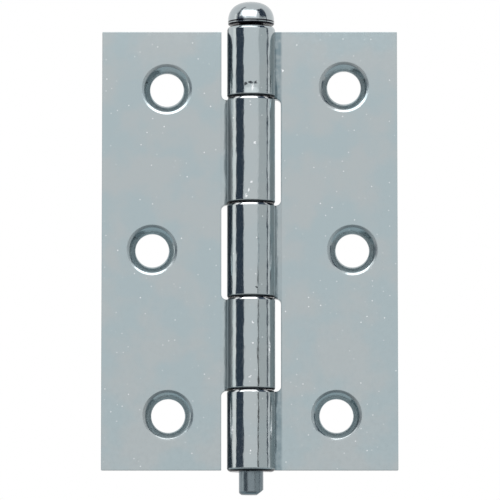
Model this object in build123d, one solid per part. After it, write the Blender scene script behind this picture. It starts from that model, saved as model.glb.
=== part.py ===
"""Narrow butt hinge, opened flat: two leaves rolled from steel sheet and one loose pin.

Millimetres. The origin lies on the pin's axis at half the height of the leaves.
+X points to the frame leaf, -Y to the side of the barrel and the countersinks, +Z to the pin's head.
"""
import os
from math import asin, atan2, cos, degrees, hypot, radians, sin, tan

from build123d import *

# Leaves
leaf_height = 76.0
sheet_thickness = 2.0
frame_leaf_reach = 25.3  # pin axis to the free edge
door_leaf_reach = 25.8
leaf_setback = 1.6  # pin axis back to the front face of a leaf
leaf_corner_radius = 0.4

# Pin
pin_diameter = 4.2
pin_clearance = 0.05  # on the radius, in every knuckle
pin_tip_length = 4.3  # below the leaves
pin_tip_radius = 0.6
pin_shear_depth = 0.9  # how far the slanted end cut takes the edge off one side
pin_shear_angle = 38.0
head_diameter = 8.0
head_seat_gap = 0.3  # head above the top knuckle
head_rim_height = 0.7
head_rim_radius = 0.3
head_dome_height = 3.37
dome_crown_fullness = 0.8  # Bezier handle of the crown, as a share of the head's radius
dome_side_fullness = 0.48  # Bezier handle of the side, as a share of the dome's height

# Knuckles, from the top; the fifth takes what is left of the leaf's height
first_knuckle = 11.8
second_knuckle = 18.4
third_knuckle = 16.3
fourth_knuckle = 15.9
knuckle_gap = 0.15
knuckle_edge = 0.15  # depth of the broken edge where two knuckles meet
knuckle_edge_length = 0.36  # how far it runs along the barrel
barrel_shoulder = 0.5  # depth of the bulged edge that the roll has at both ends of the barrel
barrel_shoulder_length = 0.55
barrel_side_slope = 0.16  # depth of the shoulder's steep part
barrel_side_length = 0.36
barrel_top_rise = 0.6  # how far the bulged end stands past the leaf
barrel_bottom_rise = 0.35
seam_gap = 0.15  # end of the roll to the leaf that it closes on
root_bend = 5.2  # pin axis to the line where the sheet turns back to its roll
notch_clearance = 1.0  # barrel to the edge of the notch in the other leaf
notch_corner_radius = 0.9

# Screw holes: from the pin axis to each, and from the leaf's end to the outer ones
screw_hole_diameter = 5.8
countersink_diameter = 8.3
countersink_angle = 90.0
countersink_lip = 0.25  # width of the broken edge round the countersink
frame_top_screw_reach = 16.1
frame_top_screw_drop = 9.6
frame_middle_screw_reach = 17.5
frame_bottom_screw_reach = 14.7
frame_bottom_screw_rise = 9.4
door_top_screw_reach = 14.6
door_top_screw_drop = 10.0
door_middle_screw_reach = 17.1
door_bottom_screw_reach = 14.3
door_bottom_screw_rise = 9.4

# Sizes that follow
half_height = leaf_height / 2
pin_radius = pin_diameter / 2
bore_radius = pin_radius + pin_clearance
barrel_radius = bore_radius + sheet_thickness
notch_edge = barrel_radius + notch_clearance
leaf_back = leaf_setback + sheet_thickness
root_tilt = asin(bore_radius / hypot(root_bend, leaf_setback)) - atan2(leaf_setback, root_bend)
roll_start = 90 - degrees(root_tilt)
roll_end = degrees(asin((bore_radius - seam_gap) / barrel_radius) - root_tilt)
knuckle_heights = [first_knuckle, second_knuckle, third_knuckle, fourth_knuckle]
knuckle_heights.append(leaf_height - sum(knuckle_heights))
knuckle_bounds = [half_height - sum(knuckle_heights[:i]) for i in range(len(knuckle_heights) + 1)]
frame_knuckles = range(0, len(knuckle_heights), 2)
door_knuckles = range(1, len(knuckle_heights), 2)
frame_screws = (
    (frame_top_screw_reach, half_height - frame_top_screw_drop),
    (frame_middle_screw_reach, 0),
    (frame_bottom_screw_reach, frame_bottom_screw_rise - half_height),
)
door_screws = (
    (door_top_screw_reach, half_height - door_top_screw_drop),
    (door_middle_screw_reach, 0),
    (door_bottom_screw_reach, door_bottom_screw_rise - half_height),
)
overcut = 2.0  # how far a cutting tool runs past the face it opens


def is_end(bound):
    """Is this the first or the last bound, where the barrel ends with the leaf?"""
    return bound in (0, len(knuckle_heights))


def knuckle_span(index):
    """Lowest and highest Z of a knuckle, half a gap short of each neighbour."""
    top = knuckle_bounds[index] - (0 if is_end(index) else knuckle_gap / 2)
    bottom = knuckle_bounds[index + 1] + (0 if is_end(index + 1) else knuckle_gap / 2)
    return bottom, top


def end_corners(bound, height, rise, outward):
    """Radius and Z of the corners at a knuckle's end, from its side inwards; outward is 1 for up, -1 for down."""
    if not is_end(bound):
        side = height - outward * knuckle_edge_length
        return [(barrel_radius, side), (barrel_radius - knuckle_edge, height)]
    face = height + outward * rise
    side = face - outward * barrel_shoulder_length
    return [
        (barrel_radius, side),
        (barrel_radius - barrel_side_slope, side + outward * barrel_side_length),
        (barrel_radius - barrel_shoulder, face),
    ]


def sheet_section(reach):
    """Section of the sheet across the pin: the flat leaf, and its root turned back to meet the roll."""
    across = (sin(root_tilt), cos(root_tilt))
    inner = (bore_radius * across[0], bore_radius * across[1])
    outer = (barrel_radius * across[0], barrel_radius * across[1])
    back_bend = root_bend + sheet_thickness * tan(root_tilt / 2)
    return make_face(
        Polyline(
            inner,
            (root_bend, leaf_setback),
            (reach, leaf_setback),
            (reach, leaf_back),
            (back_bend, leaf_back),
            outer,
            close=True,
        )
    )


def screw_hole(distance, height):
    """Countersunk hole, sunk from the front face."""
    mouth = Plane(origin=(distance, leaf_setback, height), z_dir=(0, -1, 0))
    return mouth * CounterSinkHole(
        radius=screw_hole_diameter / 2,
        counter_sink_radius=countersink_diameter / 2,
        depth=sheet_thickness + overcut,
        counter_sink_angle=countersink_angle,
    )


def notch(index):
    """Tool that clears a leaf of the other leaf's knuckle, round in the corners."""
    top = knuckle_bounds[index] + (overcut if is_end(index) else knuckle_gap / 2)
    bottom = knuckle_bounds[index + 1] - (overcut if is_end(index + 1) else knuckle_gap / 2)
    near = -barrel_radius - overcut
    outline = Plane.XZ * Pos((near + notch_edge) / 2, (top + bottom) / 2) * Rectangle(
        notch_edge - near, top - bottom
    )
    outline = fillet(outline.vertices().group_by(Axis.X)[-1], notch_corner_radius)
    return extrude(outline, amount=barrel_radius + overcut, both=True)


def rolled_knuckle(index):
    """The sheet's roll round the pin, from its tangent on the root to the seam."""
    bottom, top = knuckle_span(index)
    low = end_corners(index + 1, bottom, barrel_bottom_rise, -1)
    high = end_corners(index, top, barrel_top_rise, 1)
    section = make_face(
        Polyline(
            (bore_radius, low[-1][1]),
            *reversed(low),
            *high,
            (bore_radius, high[-1][1]),
            close=True,
        )
    )
    start = Rot(0, 0, roll_start) * (Plane.XZ * section)
    return revolve(start, Axis.Z, 360 + roll_end - roll_start)


def make_leaf(reach, knuckles, screws):
    """One leaf on the +X side of the pin, with its own knuckles and notches for the others."""
    leaf = Pos(0, 0, -half_height) * extrude(sheet_section(reach), amount=leaf_height)
    free_corners = leaf.edges().filter_by(Axis.Y).group_by(Axis.X)[-1]
    leaf = fillet(free_corners, leaf_corner_radius)
    for distance, height in screws:
        leaf -= screw_hole(distance, height)
    rims = leaf.edges().filter_by(GeomType.CIRCLE).filter_by(lambda edge: edge.is_closed)
    leaf = chamfer(rims.group_by(Axis.Y)[0], countersink_lip)
    for index in range(len(knuckle_heights)):
        if index not in knuckles:
            leaf -= notch(index)
    for index in knuckles:
        leaf += rolled_knuckle(index)
    return leaf


def make_pin():
    """Round shank with a domed head, cut off on a slant at its lower end."""
    head_radius = head_diameter / 2
    tip = -half_height - pin_tip_length
    seat = half_height + barrel_top_rise + head_seat_gap
    rim_top = seat + head_rim_height
    crown = rim_top + head_dome_height
    sides = Polyline(
        (0, tip),
        (pin_radius, tip),
        (pin_radius, seat),
        (head_radius, seat),
        (head_radius, rim_top),
    )
    dome = Bezier(
        (head_radius, rim_top),
        (head_radius, rim_top + dome_side_fullness * head_dome_height),
        (dome_crown_fullness * head_radius, crown),
        (0, crown),
    )
    outline = make_face([sides, dome, Line((0, crown), (0, tip))])
    pin = revolve(Plane.XZ * outline, Axis.Z)
    end_edge = pin.edges().filter_by(GeomType.CIRCLE).sort_by(Axis.Z)[0]
    pin = fillet(end_edge, pin_tip_radius)
    underside = pin.faces().filter_by(Plane.XY).sort_by(Axis.Z)[-1]
    rim = underside.edges().sort_by(SortBy.RADIUS)[-1]
    pin = fillet(rim, head_rim_radius)
    shear = radians(pin_shear_angle)
    slant = Plane(
        origin=(pin_radius, 0, tip + pin_shear_depth),
        z_dir=(sin(shear), 0, -cos(shear)),
    )
    return split(pin, bisect_by=slant, keep=Keep.BOTTOM)


frame_leaf = make_leaf(frame_leaf_reach, frame_knuckles, frame_screws)
door_leaf = mirror(make_leaf(door_leaf_reach, door_knuckles, door_screws), about=Plane.YZ)
hinge_pin = make_pin()

os.makedirs("parts", exist_ok=True)
export_step(frame_leaf, "parts/frame_leaf.step")
export_step(door_leaf, "parts/door_leaf.step")
export_step(hinge_pin, "parts/hinge_pin.step")
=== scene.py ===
"""Narrow butt hinge of zinc-plated steel: rounded edges, plated finish, studio light and camera."""
from math import copysign, cos, hypot, pi, radians, sin, sqrt

import bmesh
import bpy
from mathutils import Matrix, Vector


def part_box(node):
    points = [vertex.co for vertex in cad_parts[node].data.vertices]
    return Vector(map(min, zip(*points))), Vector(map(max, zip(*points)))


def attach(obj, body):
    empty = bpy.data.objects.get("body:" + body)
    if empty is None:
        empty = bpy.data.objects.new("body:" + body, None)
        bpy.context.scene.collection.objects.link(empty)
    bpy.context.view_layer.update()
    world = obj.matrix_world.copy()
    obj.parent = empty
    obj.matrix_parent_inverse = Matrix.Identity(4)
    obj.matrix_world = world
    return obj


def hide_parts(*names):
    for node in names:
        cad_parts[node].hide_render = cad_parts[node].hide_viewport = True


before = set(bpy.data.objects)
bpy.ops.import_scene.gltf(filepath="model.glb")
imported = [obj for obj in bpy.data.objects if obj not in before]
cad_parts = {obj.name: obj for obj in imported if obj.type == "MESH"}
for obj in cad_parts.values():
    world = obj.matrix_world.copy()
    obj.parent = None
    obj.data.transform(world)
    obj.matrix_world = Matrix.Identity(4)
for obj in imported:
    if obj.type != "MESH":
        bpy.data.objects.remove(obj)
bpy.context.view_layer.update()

# Lengths of the hinge and its finish are plain millimetres unless MM is written, and others are metres
MM = 0.001
scene = bpy.context.scene

# Edges: how far they are rounded, which count as sharp, and what is welded or cleared
EDGE_ROUND = 0.06 * MM
EDGE_SEGMENTS = 3
EDGE_PROFILE = 0.5  # a round one
SHARP_ANGLE = radians(18)
CREASE_ANGLE = radians(40)  # edges that are shaded sharp
FLAT_ANGLE = radians(0.3)
WELD_DISTANCE = 0.002 * MM
SLIVER_LENGTH = 0.0005 * MM

# Free corners of the leaves: their radius in the solids, and the crisper one that is shown
SOLID_CORNER = 0.4 * MM
CRISP_CORNER = 0.14 * MM

# Hinge: places from the pin's axis and from the middle of the leaves' height, and knuckles from the top
SHEET = 2.0
LEAF_FRONT = 1.6
LEAF_BACK = LEAF_FRONT + SHEET
LEAF_TOP = 38.0
KNUCKLES = (11.8, 18.4, 16.3, 15.9)
JOINTS = tuple(LEAF_TOP - sum(KNUCKLES[: i + 1]) for i in range(len(KNUCKLES)))
LAST_EDGE = -38.2  # lower edge of the last knuckle
BARREL_RADIUS = -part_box("frame_leaf")[0].y / MM  # the leaf's foremost point is on its barrel
BORE_RADIUS = BARREL_RADIUS - SHEET

# Finish of the barrel: how far it reaches from the axis, and where that of the flat leaf begins
ROLL_END = BARREL_RADIUS + 0.2
ROLL_FADE = 0.2
FLAT_START = BARREL_RADIUS + 1.6

# Camera, at the photograph's angle from a little below
PICTURE_WIDTH = 86.3 * MM
CAMERA_DISTANCE = 0.72
CAMERA_ELEVATION = radians(-5.6)
CAMERA_AIM = Vector((-0.19, 1.6, 0.0)) * MM
SENSOR_WIDTH = 36.0

# Colours
WHITE = (1.0, 1.0, 1.0, 1.0)
BLACK = (0.0, 0.0, 0.0, 1.0)
FLOOR_GREY = (0.66, 0.66, 0.66, 1.0)
LEAF_TINTS = ((0.436, 0.482, 0.496, 1.0), (0.399, 0.476, 0.502, 1.0))
PIN_TINTS = ((0.430, 0.465, 0.485, 1.0), (0.395, 0.455, 0.475, 1.0))
# Painted shade at the frame leaf's root bend
ROOT_PAINTED_SHADE = (0.205, 0.275, 0.305, 1.0)
TIP_DARK = (0.212, 0.256, 0.280, 1.0)
BRIGHT = (0.90, 0.93, 0.95, 1.0)
PALE = (0.58, 0.65, 0.67, 1.0)
DARK = (0.05, 0.06, 0.07, 1.0)
# Painted shade in the barrel's joints and gaps
GAP_SHADE = (0.015, 0.018, 0.022, 1.0)

# Zinc: roughness, mottling, grain, specks, and waves left by the rolling
# A NOISE pair, here and below, is the stretch of a noise's values that is used
LEAF_ROUGHNESS = 0.16
ROLL_ROUGHNESS = 0.13
PIN_ROUGHNESS = 0.16
MOTTLE_SCALE = 0.14
MOTTLE_DETAIL = 3.0
MOTTLE_NOISE = (0.38, 0.62)
ROLL_MOTTLE = 0.4  # share of the mottling that the roll has
GRAIN_SCALE = 1.6
GRAIN_DETAIL = 4.0
GRAIN_NOISE = (0.3, 0.7)
GRAIN_ROUGHNESS = (-0.03, 0.03)
GRAIN_BUMP_SCALE = 2.2
GRAIN_BUMP_HEIGHT = 0.0025 * MM
SPECK_DENSITY = 1.0
SPECK_SIZE = 0.18
SPECK_RARITY = 0.52  # share of the grains that stay unseen
WAVE_SCALE = 0.8
WAVE_STRETCH = 0.35  # the waves are drawn out along the barrel
WAVE_HEIGHT = 0.05 * MM

# Root bend of the frame leaf: its dark band of painted shade across, in streaks, and weaker near the
# middle of the height
ROOT_BAND = (3.9, 5.5)
ROOT_FADES = (0.3, 0.5)
ROOT_SCALE = 0.9
ROOT_NOISE = (0.25, 0.75)
ROOT_STREAKS = (0.5, 1.0)
ROOT_HEIGHTS = (6.0, 14.0)
ROOT_STRENGTHS = (0.3, 1.0)

# Cut faces between a leaf's two sides, and the countersinks' lips, dull but for their lowest stretch
CUT_START = 0.12
CUT_ROUGHNESS = 0.14
LIP_DEPTH = 0.27
LIP_FADE = 0.02
LIP_ROUGHNESS = 0.34
LIP_TILTS = (0.28, 0.16)  # how far the lip faces up where it is shiny, and where it is dull
LIP_REACH = 6.0  # past the root bend, which has the same depth
LIP_REACH_FADE = 0.2

# Knuckles' edges, from the joint: a dull band above it, and a painted highlight on the rim below it at the
# front
WORN_BAND = (0.15, 0.5)
WORN_FADES = (0.05, 0.15)
WORN_ROUGHNESS = 0.5
RIM_BAND = (-0.46, -0.12)
RIM_FADES = (0.1, 0.05)
RIM_SIDES = (3.3, 2.2)  # distance to the side where the painted highlight begins, and where it is full
RIM_DEPTHS = (-1.0, -2.0)  # the same, towards the front
RIM_HIGHLIGHT = 0.9
RIM_SCALE = 1.4
RIM_NOISE = (0.3, 0.5)
RIM_PATCHES = (0.75, 1.0)

# Painted shade: dark lines round the barrel in its joints and gaps (height, half width, thinner at the
# front or not)
JOINT_LINE = 0.42
LINE_CORE = 0.7  # share of a line's width that is fully dark
FRONT_SHADE = 0.9  # share of the painted shade that is left at the front
SHADE_SIDES = (0.3, 2.6)  # distance to the side where the thinning begins to end, and where it has ended
SHADE_DEPTHS = (-0.5, 0.5)  # where the front of the barrel ends and its back begins
JOINT_LINES = tuple((joint, JOINT_LINE, True) for joint in JOINTS)
END_LINES = ((38.66, 0.16, False), (-38.38, 0.46, False))
PIN_LINES = ((39.42, 0.15, True), (38.75, 0.48, False))

# Left flank of the barrel: a dark streak of painted shade on the frame leaf's knuckles, and a dull zone on
# the door leaf's
FLANK_X = -3.86
FLANK_FADE = 0.1
FLANK_DEPTHS = (-1.85, -0.1)
FLANK_DEPTH_FADES = (0.2, 0.2)
FLANK_DULL = (-2.9, -3.5)  # across, where the dull zone begins and where it is full
FLANK_ROUGHNESS = 0.36

# Pin: lighter and smoother at the head, darker and rougher at the tip, changing between these heights
HEAD_TO_TIP = (37.0, -37.0)
TIP_ROUGHNESS = 0.25

# Wear and painted highlights, with ragged outlines: name, place across and along the hinge, half width,
# half height and colour
MARK_SCALE = 3.0
MARK_RAGGEDNESS = 0.7
MARK_DEPTH = 0.6
MARK_CORE = 0.4  # share of a mark that has its full colour
MARKS = (
    ("knuckle_1_chips_left", -0.95, 28.2, 0.45, 0.40, DARK),
    ("knuckle_1_chips_middle", -0.10, 28.45, 0.50, 0.34, DARK),
    ("knuckle_1_chips_right", 0.75, 28.4, 0.42, 0.42, DARK),
    ("knuckle_1_rub", 0.05, 27.0, 1.90, 0.95, PALE),
    ("knuckle_1_rub_heart", 0.25, 27.5, 0.32, 0.75, BRIGHT),
    ("knuckle_2_spot_high", 0.60, 18.0, 0.20, 0.24, BRIGHT),
    ("knuckle_2_spot_low", 0.08, 11.2, 0.22, 0.30, BRIGHT),
    ("knuckle_2_scratch_high", -0.42, 9.8, 0.16, 0.50, BRIGHT),
    ("knuckle_2_scratch_low", -0.85, 8.8, 0.18, 0.50, BRIGHT),
    ("knuckle_3_nick", 0.94, -6.9, 0.22, 0.22, DARK),
    ("knuckle_4_spot_high", 0.25, -12.9, 0.18, 0.24, BRIGHT),
    ("knuckle_4_spot_middle", 0.25, -16.5, 0.18, 0.24, BRIGHT),
    ("knuckle_4_spot_low", -0.27, -22.3, 0.18, 0.20, BRIGHT),
    # painted highlight: a bright strip down knuckle 4's right flank
    ("knuckle_4_painted_highlight_right", 3.18, -17.2, 0.14, 1.50, BRIGHT),
    ("knuckle_5_spot", -0.10, -34.9, 0.18, 0.20, BRIGHT),
    # painted highlights: bright strips down knuckle 5's left and right flanks
    ("knuckle_5_painted_highlight_left", -3.29, -31.5, 0.16, 1.50, BRIGHT),
    ("knuckle_5_painted_highlight_right", 3.42, -31.7, 0.20, 2.50, BRIGHT),
    ("frame_leaf_spot", 5.43, 31.2, 0.22, 0.26, BRIGHT),
)

# Floor, well below the hinge
FLOOR_HEIGHT = -0.28
FLOOR_SIZE = 20.0

# Soft box, close above the front of the pin's head: where it hangs (degrees), its size and its brightness
HEAD_CENTRE = Vector((0, 0, 41.0)) * MM
SOFT_BOX_AZIMUTH = -10
SOFT_BOX_ELEVATION = 34
SOFT_BOX_DISTANCE = 0.07
SOFT_BOX_WIDTH = 0.096
SOFT_BOX_HEIGHT = 0.047
SOFT_BOX_RADIANCE = 2.1

# Cards that stand round the hinge: colour and strength of each kind
CARD_KINDS = {
    "navy_card": ((0.050, 0.070, 0.100, 1.0), 1.0),
    "black_card": ((0.012, 0.014, 0.016, 1.0), 1.0),
    "dark_card": ((0.20, 0.225, 0.24, 1.0), 1.0),
    "grey_card": ((0.72, 0.74, 0.74, 1.0), 1.0),
    "half_card": ((0.52, 0.60, 0.63, 1.0), 1.0),
    "bright_card": ((1.0, 0.98, 0.95, 1.0), 1.3),
    "glow_card": (WHITE, 1.8),
}

# Cards: name, azimuths and elevations from the hinge (degrees), distance and kind
CARD_STEP = 3.0
FAR = 0.5
NEAR = 0.26
CARDS = (
    ("left_light", (-95, -78), (-6, 30), FAR, "bright_card"),
    ("left_flag", (-77, -35.5), (-6, 22), FAR, "navy_card"),
    ("left_flag_top", (-77, -62), (22, 74), FAR, "navy_card"),
    ("left_fill", (-60, -42), (26, 58), FAR, "glow_card"),
    ("right_panel", (38, 80), (-6, 18), FAR, "grey_card"),
    ("right_panel_edge_low", (31, 37), (-6, 4.5), FAR, "black_card"),
    ("right_panel_edge", (33, 37), (4.5, 7), FAR, "half_card"),
    ("right_slot", (81, 89), (-6, 18), FAR, "navy_card"),
    ("high_flag", (42, 88), (19, 58), FAR, "navy_card"),
    ("low_flag_front", (-60, 60), (-58, -27), NEAR, "dark_card"),
    ("low_panel_left", (-120, -60), (-58, -14), NEAR, "half_card"),
    ("low_panel_right", (60, 120), (-58, -14), NEAR, "half_card"),
    ("under_panel", (-180, 180), (-89, -58), NEAR, "half_card"),
)

# Shader nodes: sockets of the Mix node, which share their names, and settings that are used more than once
MIX_SHARE = 0
MIX_VALUES = (2, 3)
MIX_COLOURS = (6, 7)
MIX_VALUE_OUT = 0
MIX_COLOUR_OUT = 2
NOISE_DETAIL = 2.0
NOISE_MIDDLE = (0.5, 0.5, 0.5)


# Pieces
def weld(name):
    """A copy of a node's mesh with its faces joined at their edges, for rounding."""
    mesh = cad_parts[name].data.copy()
    shape = bmesh.new()
    shape.from_mesh(mesh)
    bmesh.ops.remove_doubles(shape, verts=shape.verts, dist=WELD_DISTANCE)
    bmesh.ops.dissolve_limit(
        shape, angle_limit=FLAT_ANGLE, verts=shape.verts, edges=shape.edges, use_dissolve_boundaries=False
    )
    return mesh, shape


def crisp_corners(name, shape):
    """Draws a leaf's free corners out to their smaller radius."""
    low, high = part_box(name)
    corner_x = max(-low.x, high.x) - SOLID_CORNER
    corner_z = LEAF_TOP * MM - SOLID_CORNER
    share = CRISP_CORNER / SOLID_CORNER
    for point in (vertex.co for vertex in shape.verts):
        across = abs(point.x) - corner_x
        along = abs(point.z) - corner_z
        if min(across, along) > -WELD_DISTANCE:
            point.x = copysign(corner_x + SOLID_CORNER - CRISP_CORNER + across * share, point.x)
            point.z = copysign(corner_z + SOLID_CORNER - CRISP_CORNER + along * share, point.z)


def is_rounded(edge):
    """Is this a convex sharp edge that lies outside the bore?"""
    if len(edge.link_faces) != 2 or edge.calc_face_angle_signed(0) < SHARP_ANGLE:
        return False
    middle = (edge.verts[0].co + edge.verts[1].co) / 2
    return hypot(middle.x, middle.y) > BORE_RADIUS * MM + EDGE_ROUND


def round_edges(shape):
    """Rounds the sharp edges, and clears the slivers that the rounding leaves."""
    bmesh.ops.bevel(
        shape,
        geom=[edge for edge in shape.edges if is_rounded(edge)],
        offset=EDGE_ROUND,
        offset_type="OFFSET",
        segments=EDGE_SEGMENTS,
        profile=EDGE_PROFILE,
        affect="EDGES",
        clamp_overlap=False,
    )
    bmesh.ops.dissolve_degenerate(shape, dist=SLIVER_LENGTH, edges=shape.edges)
    for face in shape.faces:
        face.smooth = True


def rounded_piece(name, material):
    """The node's shape with rounded edges, shown in its place."""
    mesh, shape = weld(name)
    if name.endswith("leaf"):
        crisp_corners(name, shape)
    round_edges(shape)
    shape.to_mesh(mesh)
    shape.free()
    mesh.set_sharp_from_angle(angle=CREASE_ANGLE)
    mesh.materials.clear()
    mesh.materials.append(material)
    piece = bpy.data.objects.new(name + "_plated", mesh)
    scene.collection.objects.link(piece)
    piece.modifiers.new("Face normals", "WEIGHTED_NORMAL").keep_sharp = True
    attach(piece, name)
    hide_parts(name)


# Shader nodes
def add_node(tree, kind, inputs=(), **settings):
    """A new node with its settings, and its inputs either linked to a socket or set to a value."""
    made = tree.nodes.new(kind)
    for key, value in settings.items():
        setattr(made, key, value)
    for key, value in dict(inputs).items():
        if isinstance(value, bpy.types.NodeSocket):
            tree.links.new(value, made.inputs[key])
        else:
            made.inputs[key].default_value = value
    return made


def calculated(tree, operation, *values):
    """The result of an operation on values."""
    return add_node(tree, "ShaderNodeMath", enumerate(values), operation=operation).outputs[0]


def vector_calculated(tree, operation, *vectors):
    """The result of an operation on vectors, part by part."""
    return add_node(tree, "ShaderNodeVectorMath", enumerate(vectors), operation=operation).outputs[0]


def length(tree, vector):
    """The length of a vector."""
    return add_node(tree, "ShaderNodeVectorMath", {0: vector}, operation="LENGTH").outputs["Value"]


def absolute(tree, value):
    """The value without its sign."""
    return calculated(tree, "ABSOLUTE", value)


def multiplied(tree, *shares):
    """The product of two or more shares."""
    product = shares[0]
    for share in shares[1:]:
        product = calculated(tree, "MULTIPLY", product, share)
    return product


def coordinate(tree, place, axis):
    """One of the three parts of a place or direction."""
    return add_node(tree, "ShaderNodeSeparateXYZ", {0: place}).outputs[axis]


def millimetres(tree):
    """The piece's own coordinates, in millimetres."""
    place = add_node(tree, "ShaderNodeTexCoord").outputs["Object"]
    return add_node(
        tree, "ShaderNodeVectorMath", {0: place, "Scale": 1 / MM}, operation="SCALE"
    ).outputs[0]


def axis_distance(tree, place):
    """Distance from the pin's axis."""
    return length(tree, vector_calculated(tree, "MULTIPLY", place, (1, 1, 0)))


def noise(tree, place, scale, detail=NOISE_DETAIL, output="Fac"):
    """Noise with so many waves to the millimetre, as a value or as a colour."""
    return add_node(
        tree, "ShaderNodeTexNoise", {"Vector": place, "Scale": scale, "Detail": detail}
    ).outputs[output]


def ramp(tree, value, low, high, start=0.0, end=1.0):
    """The value mapped smoothly from low..high to start..end, and held at both ends."""
    return add_node(
        tree,
        "ShaderNodeMapRange",
        {"Value": value, "From Min": low, "From Max": high, "To Min": start, "To Max": end},
        interpolation_type="SMOOTHSTEP",
    ).outputs["Result"]


def band(tree, value, low, high, low_fade, high_fade):
    """1 between low and high and 0 outside, with a soft change inside each end."""
    return multiplied(
        tree,
        ramp(tree, value, low, low + low_fade),
        ramp(tree, value, high, high - high_fade),
    )


def blend_colour(tree, share, first, second):
    """The first colour, with this share of the second in it."""
    inputs = dict(zip((MIX_SHARE, *MIX_COLOURS), (share, first, second)))
    return add_node(tree, "ShaderNodeMix", inputs, data_type="RGBA").outputs[MIX_COLOUR_OUT]


def blend_value(tree, share, first, second):
    """The first value, with this share of the second in it."""
    inputs = dict(zip((MIX_SHARE, *MIX_VALUES), (share, first, second)))
    return add_node(tree, "ShaderNodeMix", inputs, data_type="FLOAT").outputs[MIX_VALUE_OUT]


def on_barrel(tree, place):
    """1 on the roll and the pin, 0 on the leaf."""
    return ramp(tree, axis_distance(tree, place), ROLL_END + ROLL_FADE, ROLL_END)


# Changes of colour
def speckled(tree, place, colour):
    """The colour with tiny bright grains of zinc strewn over it."""
    cells = add_node(tree, "ShaderNodeTexVoronoi", {"Vector": place, "Scale": SPECK_DENSITY})
    near = ramp(tree, cells.outputs["Distance"], SPECK_SIZE * SPECK_DENSITY, 0.0)
    chance = add_node(tree, "ShaderNodeSeparateColor", {0: cells.outputs["Color"]}).outputs[0]
    share = multiplied(tree, near, ramp(tree, chance, SPECK_RARITY, 1.0))
    return blend_colour(tree, share, colour, BRIGHT)


def painted_root_shade(tree, place, colour):
    """The colour, darkened by painted shade where the frame leaf's sheet bends into its roll."""
    bend = band(tree, coordinate(tree, place, "X"), *ROOT_BAND, *ROOT_FADES)
    streaks = ramp(tree, noise(tree, place, ROOT_SCALE), *ROOT_NOISE, *ROOT_STREAKS)
    height = absolute(tree, coordinate(tree, place, "Z"))
    strength = ramp(tree, height, *ROOT_HEIGHTS, *ROOT_STRENGTHS)
    return blend_colour(tree, multiplied(tree, bend, streaks, strength), colour, ROOT_PAINTED_SHADE)


def worn_and_highlighted(tree, place, colour):
    """The colour with the chips, rubs and scratches of the hinge, and painted highlights down its
    knuckles' flanks.
    """
    wander = noise(tree, place, MARK_SCALE, output="Color")
    centred = vector_calculated(tree, "SUBTRACT", wander, NOISE_MIDDLE)
    ragged = vector_calculated(tree, "MULTIPLY_ADD", centred, (MARK_RAGGEDNESS,) * 3, place)
    for _, x, z, half_width, half_height, tone in MARKS:
        y = -sqrt(BARREL_RADIUS**2 - x**2) if abs(x) < BARREL_RADIUS else LEAF_FRONT
        offset = vector_calculated(tree, "SUBTRACT", ragged, (x, y, z))
        share = vector_calculated(tree, "DIVIDE", offset, (half_width, MARK_DEPTH, half_height))
        inside = ramp(tree, length(tree, share), 1.0, MARK_CORE)
        colour = blend_colour(tree, inside, colour, tone)
    return colour


def flank_painted_shade(tree, place, colour):
    """The colour with a dark streak of painted shade down the roll's left flank."""
    left = ramp(tree, coordinate(tree, place, "X"), FLANK_X + FLANK_FADE, FLANK_X - FLANK_FADE)
    depth = band(tree, coordinate(tree, place, "Y"), *FLANK_DEPTHS, *FLANK_DEPTH_FADES)
    return blend_colour(tree, multiplied(tree, left, depth, on_barrel(tree, place)), colour, DARK)


def tip_darkened(tree, place, colour):
    """The pin's colour, darker towards its tip."""
    share = ramp(tree, coordinate(tree, place, "Z"), *HEAD_TO_TIP)
    return blend_colour(tree, share, colour, TIP_DARK)


def shade_lined(tree, place, colour, lines):
    """The colour with a dark line of painted shade round the barrel at each height."""
    height = coordinate(tree, place, "Z")
    aside = absolute(tree, coordinate(tree, place, "X"))
    behind = ramp(tree, coordinate(tree, place, "Y"), *SHADE_DEPTHS)
    front_thinning = ramp(tree, calculated(tree, "ADD", aside, behind), *SHADE_SIDES, FRONT_SHADE, 1.0)
    barrel = on_barrel(tree, place)
    for line, half_width, thinner_in_front in lines:
        away = absolute(tree, calculated(tree, "SUBTRACT", height, line))
        share = multiplied(tree, ramp(tree, away, half_width, half_width * LINE_CORE), barrel)
        if thinner_in_front:
            share = multiplied(tree, share, front_thinning)
        colour = blend_colour(tree, share, colour, GAP_SHADE)
    return colour


def painted_rim_highlights(tree, place, colour):
    """The colour with a painted highlight at the front of the upper edge of each knuckle under another."""
    height = coordinate(tree, place, "Z")
    front = multiplied(
        tree,
        ramp(tree, absolute(tree, coordinate(tree, place, "X")), *RIM_SIDES, 0.0, RIM_HIGHLIGHT),
        ramp(tree, coordinate(tree, place, "Y"), *RIM_DEPTHS),
        ramp(tree, noise(tree, place, RIM_SCALE), *RIM_NOISE, *RIM_PATCHES),
    )
    for joint in JOINTS:
        above = calculated(tree, "SUBTRACT", height, joint)
        rim = multiplied(tree, band(tree, above, *RIM_BAND, *RIM_FADES), front)
        colour = blend_colour(tree, rim, colour, BRIGHT)
    return colour


# Changes of roughness
def lip_dulled(tree, place, roughness):
    """The roughness, higher on the countersinks' lips apart from their lowest stretch."""
    tilt = coordinate(tree, add_node(tree, "ShaderNodeTexCoord").outputs["Normal"], "Z")
    across = absolute(tree, coordinate(tree, place, "X"))
    lip = multiplied(
        tree,
        band(tree, coordinate(tree, place, "Y"), LEAF_FRONT, LEAF_FRONT + LIP_DEPTH, LIP_FADE, LIP_FADE),
        ramp(tree, tilt, *LIP_TILTS),
        ramp(tree, across, LIP_REACH, LIP_REACH + LIP_REACH_FADE),
    )
    return blend_value(tree, lip, roughness, LIP_ROUGHNESS)


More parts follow.
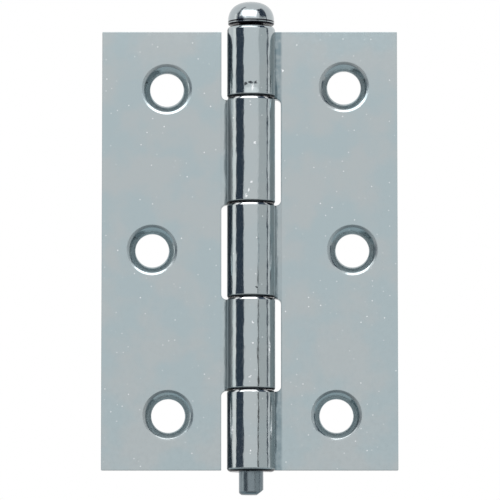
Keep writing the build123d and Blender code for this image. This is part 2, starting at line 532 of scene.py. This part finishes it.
def edge_worn(tree, place, roughness):
    """The roughness, higher on the lower edge of each knuckle."""
    height = coordinate(tree, place, "Z")
    barrel = on_barrel(tree, place)
    for edge in JOINTS + (LAST_EDGE,):
        above = calculated(tree, "SUBTRACT", height, edge)
        share = multiplied(tree, band(tree, above, *WORN_BAND, *WORN_FADES), barrel)
        roughness = blend_value(tree, share, roughness, WORN_ROUGHNESS)
    return roughness


def flank_dulled(tree, place, roughness):
    """The roughness, higher on the left flank of the roll."""
    left = ramp(tree, coordinate(tree, place, "X"), *FLANK_DULL)
    return blend_value(tree, multiplied(tree, left, on_barrel(tree, place)), roughness, FLANK_ROUGHNESS)


def tip_roughened(tree, place, roughness):
    """The pin's roughness, higher towards its tip."""
    share = ramp(tree, coordinate(tree, place, "Z"), *HEAD_TO_TIP)
    return blend_value(tree, share, roughness, TIP_ROUGHNESS)


# Zinc
def zinc_colour(tree, place, flatness, tints, wear_and_painted_light, lines):
    """Two tints mottled, fainter on the roll, with specks, wear and painted light, lines of painted shade
    and painted highlights on the rims.
    """
    mottling = multiplied(
        tree,
        ramp(tree, noise(tree, place, MOTTLE_SCALE, MOTTLE_DETAIL), *MOTTLE_NOISE),
        ramp(tree, flatness, 0.0, 1.0, ROLL_MOTTLE, 1.0),
    )
    colour = speckled(tree, place, blend_colour(tree, mottling, *tints))
    for change in wear_and_painted_light:
        colour = change(tree, place, colour)
    return painted_rim_highlights(tree, place, shade_lined(tree, place, colour, lines))


def zinc_roughness(tree, place, flatness, roll, leaf, dulling):
    """Roughness of the roll, the leaf and its cut faces, with dull places and a fine grain."""
    roughness = blend_value(tree, flatness, roll, leaf)
    cut = band(tree, coordinate(tree, place, "Y"), LEAF_FRONT, LEAF_BACK, CUT_START, CUT_START)
    roughness = blend_value(tree, cut, roughness, CUT_ROUGHNESS)
    for change in dulling:
        roughness = change(tree, place, roughness)
    grain = ramp(tree, noise(tree, place, GRAIN_SCALE, GRAIN_DETAIL), *GRAIN_NOISE, *GRAIN_ROUGHNESS)
    return calculated(tree, "ADD", roughness, grain)


def zinc_bump(tree, place, flatness):
    """Long shallow waves on the roll, and a fine grain everywhere."""
    stretched = vector_calculated(tree, "MULTIPLY", place, (1, 1, WAVE_STRETCH))
    waves = noise(tree, stretched, WAVE_SCALE)
    height = ramp(tree, flatness, 1.0, 0.0, 0.0, WAVE_HEIGHT)
    rolled = add_node(
        tree, "ShaderNodeBump", {"Height": waves, "Distance": height, "Strength": 1.0}
    ).outputs[0]
    grain = noise(tree, place, GRAIN_BUMP_SCALE, GRAIN_DETAIL)
    return add_node(
        tree,
        "ShaderNodeBump",
        {"Height": grain, "Distance": GRAIN_BUMP_HEIGHT, "Strength": 1.0, "Normal": rolled},
    ).outputs[0]


def plated_zinc(name, tints, leaf_roughness, roll_roughness, wear_and_painted_light, lines, dulling):
    """Blue-passivated zinc plate, with the given changes of colour and roughness."""
    material = bpy.data.materials.new(name)
    material.use_nodes = True
    tree = material.node_tree
    shader = tree.nodes["Principled BSDF"]
    shader.inputs["Metallic"].default_value = 1.0
    place = millimetres(tree)
    flatness = ramp(tree, axis_distance(tree, place), ROLL_END, FLAT_START)
    colour = zinc_colour(tree, place, flatness, tints, wear_and_painted_light, lines)
    roughness = zinc_roughness(tree, place, flatness, roll_roughness, leaf_roughness, dulling)
    tree.links.new(colour, shader.inputs["Base Color"])
    tree.links.new(roughness, shader.inputs["Roughness"])
    tree.links.new(zinc_bump(tree, place, flatness), shader.inputs["Normal"])
    return material


def frame_leaf_zinc():
    """The frame leaf's zinc: dark with painted shade at its root bend and down its knuckles' left flank.
    """
    return plated_zinc(
        "zinc_frame_leaf_finish",
        tints=LEAF_TINTS,
        leaf_roughness=LEAF_ROUGHNESS,
        roll_roughness=ROLL_ROUGHNESS,
        wear_and_painted_light=(painted_root_shade, worn_and_highlighted, flank_painted_shade),
        lines=JOINT_LINES + END_LINES,
        dulling=(lip_dulled, edge_worn),
    )


def door_leaf_zinc():
    """The door leaf's zinc: dull on its knuckles' left flank."""
    return plated_zinc(
        "zinc_door_leaf_finish",
        tints=LEAF_TINTS,
        leaf_roughness=LEAF_ROUGHNESS,
        roll_roughness=ROLL_ROUGHNESS,
        wear_and_painted_light=(worn_and_highlighted,),
        lines=JOINT_LINES + END_LINES,
        dulling=(lip_dulled, edge_worn, flank_dulled),
    )


def pin_zinc():
    """The pin's zinc: darker and rougher towards its tip, with painted shade round and under its head."""
    return plated_zinc(
        "zinc_pin_finish",
        tints=PIN_TINTS,
        leaf_roughness=PIN_ROUGHNESS,
        roll_roughness=PIN_ROUGHNESS,
        wear_and_painted_light=(tip_darkened,),
        lines=PIN_LINES,
        dulling=(tip_roughened,),
    )


# Studio
def plain_material(name, colour, strength=None):
    """A matt surface, or with a strength one that only gives light."""
    material = bpy.data.materials.new(name)
    material.use_nodes = True
    tree = material.node_tree
    shader = tree.nodes["Principled BSDF"]
    shader.inputs["Base Color"].default_value = colour
    shader.inputs["Roughness"].default_value = 1.0
    shader.inputs["Specular IOR Level"].default_value = 0.0
    if strength is not None:
        shader.inputs["Base Color"].default_value = BLACK
        shader.inputs["Emission Color"].default_value = colour
        shader.inputs["Emission Strength"].default_value = strength
    return material


def direction(azimuth, elevation):
    """From the hinge: azimuth 0 to the front and positive to the right, elevation upwards, in degrees."""
    turn = radians(azimuth)
    rise = radians(elevation)
    return Vector((sin(turn) * cos(rise), -cos(turn) * cos(rise), sin(rise)))


def angles(low, high):
    """Angles from low to high, about a card's step apart."""
    count = max(1, round((high - low) / CARD_STEP))
    return [low + (high - low) * index / count for index in range(count + 1)]


def card(name, azimuths, elevations, distance, material):
    """A curved card round the hinge, seen only in its reflections."""
    columns = angles(*azimuths)
    rows = angles(*elevations)
    points = [direction(column, row) * distance for row in rows for column in columns]
    faces = []
    for row in range(len(rows) - 1):
        for column in range(len(columns) - 1):
            corner = row * len(columns) + column
            above = corner + len(columns)
            faces.append((corner, corner + 1, above + 1, above))
    mesh = bpy.data.meshes.new(name)
    mesh.from_pydata(points, [], faces)
    mesh.materials.append(material)
    made = bpy.data.objects.new(name, mesh)
    scene.collection.objects.link(made)
    made.visible_camera = False
    made.visible_diffuse = False
    made.visible_shadow = False


def lay_floor():
    """A plain pale floor."""
    mesh = bpy.data.meshes.new("floor")
    half = FLOOR_SIZE / 2
    corners = [(-half, -half), (half, -half), (half, half), (-half, half)]
    mesh.from_pydata([(x, y, FLOOR_HEIGHT) for x, y in corners], [], [(0, 1, 2, 3)])
    mesh.materials.append(plain_material("floor_paper", FLOOR_GREY))
    floor = bpy.data.objects.new("floor", mesh)
    scene.collection.objects.link(floor)


def hang_soft_box():
    """A soft box aimed at the pin's head, given by the brightness of its face."""
    lamp = bpy.data.lights.new("soft_box", "AREA")
    lamp.shape = "RECTANGLE"
    lamp.size = SOFT_BOX_WIDTH
    lamp.size_y = SOFT_BOX_HEIGHT
    lamp.energy = SOFT_BOX_RADIANCE * pi * SOFT_BOX_WIDTH * SOFT_BOX_HEIGHT
    made = bpy.data.objects.new("soft_box", lamp)
    towards = direction(SOFT_BOX_AZIMUTH, SOFT_BOX_ELEVATION)
    made.location = HEAD_CENTRE + towards * SOFT_BOX_DISTANCE
    made.rotation_mode = "QUATERNION"
    made.rotation_quaternion = towards.to_track_quat("Z", "Y")
    made.visible_camera = False
    scene.collection.objects.link(made)


def light_studio():
    """White all round, with cards that give the metal its stripes, and one soft box."""
    world = bpy.data.worlds.new("white")
    world.use_nodes = True
    world.node_tree.nodes["Background"].inputs["Color"].default_value = WHITE
    scene.world = world
    kinds = {name: plain_material(name, *light) for name, light in CARD_KINDS.items()}
    for name, azimuths, elevations, distance, kind in CARDS:
        card(name, azimuths, elevations, distance, kinds[kind])
    hang_soft_box()


def place_camera():
    """A long lens, aimed at the hinge from a little below."""
    back = Vector((0, -cos(CAMERA_ELEVATION), sin(CAMERA_ELEVATION)))
    lens = bpy.data.cameras.new("camera")
    lens.sensor_width = SENSOR_WIDTH
    lens.lens = SENSOR_WIDTH * CAMERA_DISTANCE / PICTURE_WIDTH
    camera = bpy.data.objects.new("camera", lens)
    camera.location = CAMERA_AIM + back * CAMERA_DISTANCE
    camera.rotation_mode = "QUATERNION"
    camera.rotation_quaternion = (-back).to_track_quat("-Z", "Y")
    scene.collection.objects.link(camera)
    scene.camera = camera


rounded_piece("frame_leaf", frame_leaf_zinc())
rounded_piece("door_leaf", door_leaf_zinc())
rounded_piece("hinge_pin", pin_zinc())
lay_floor()
light_studio()
place_camera()
scene.view_settings.view_transform = "Standard"
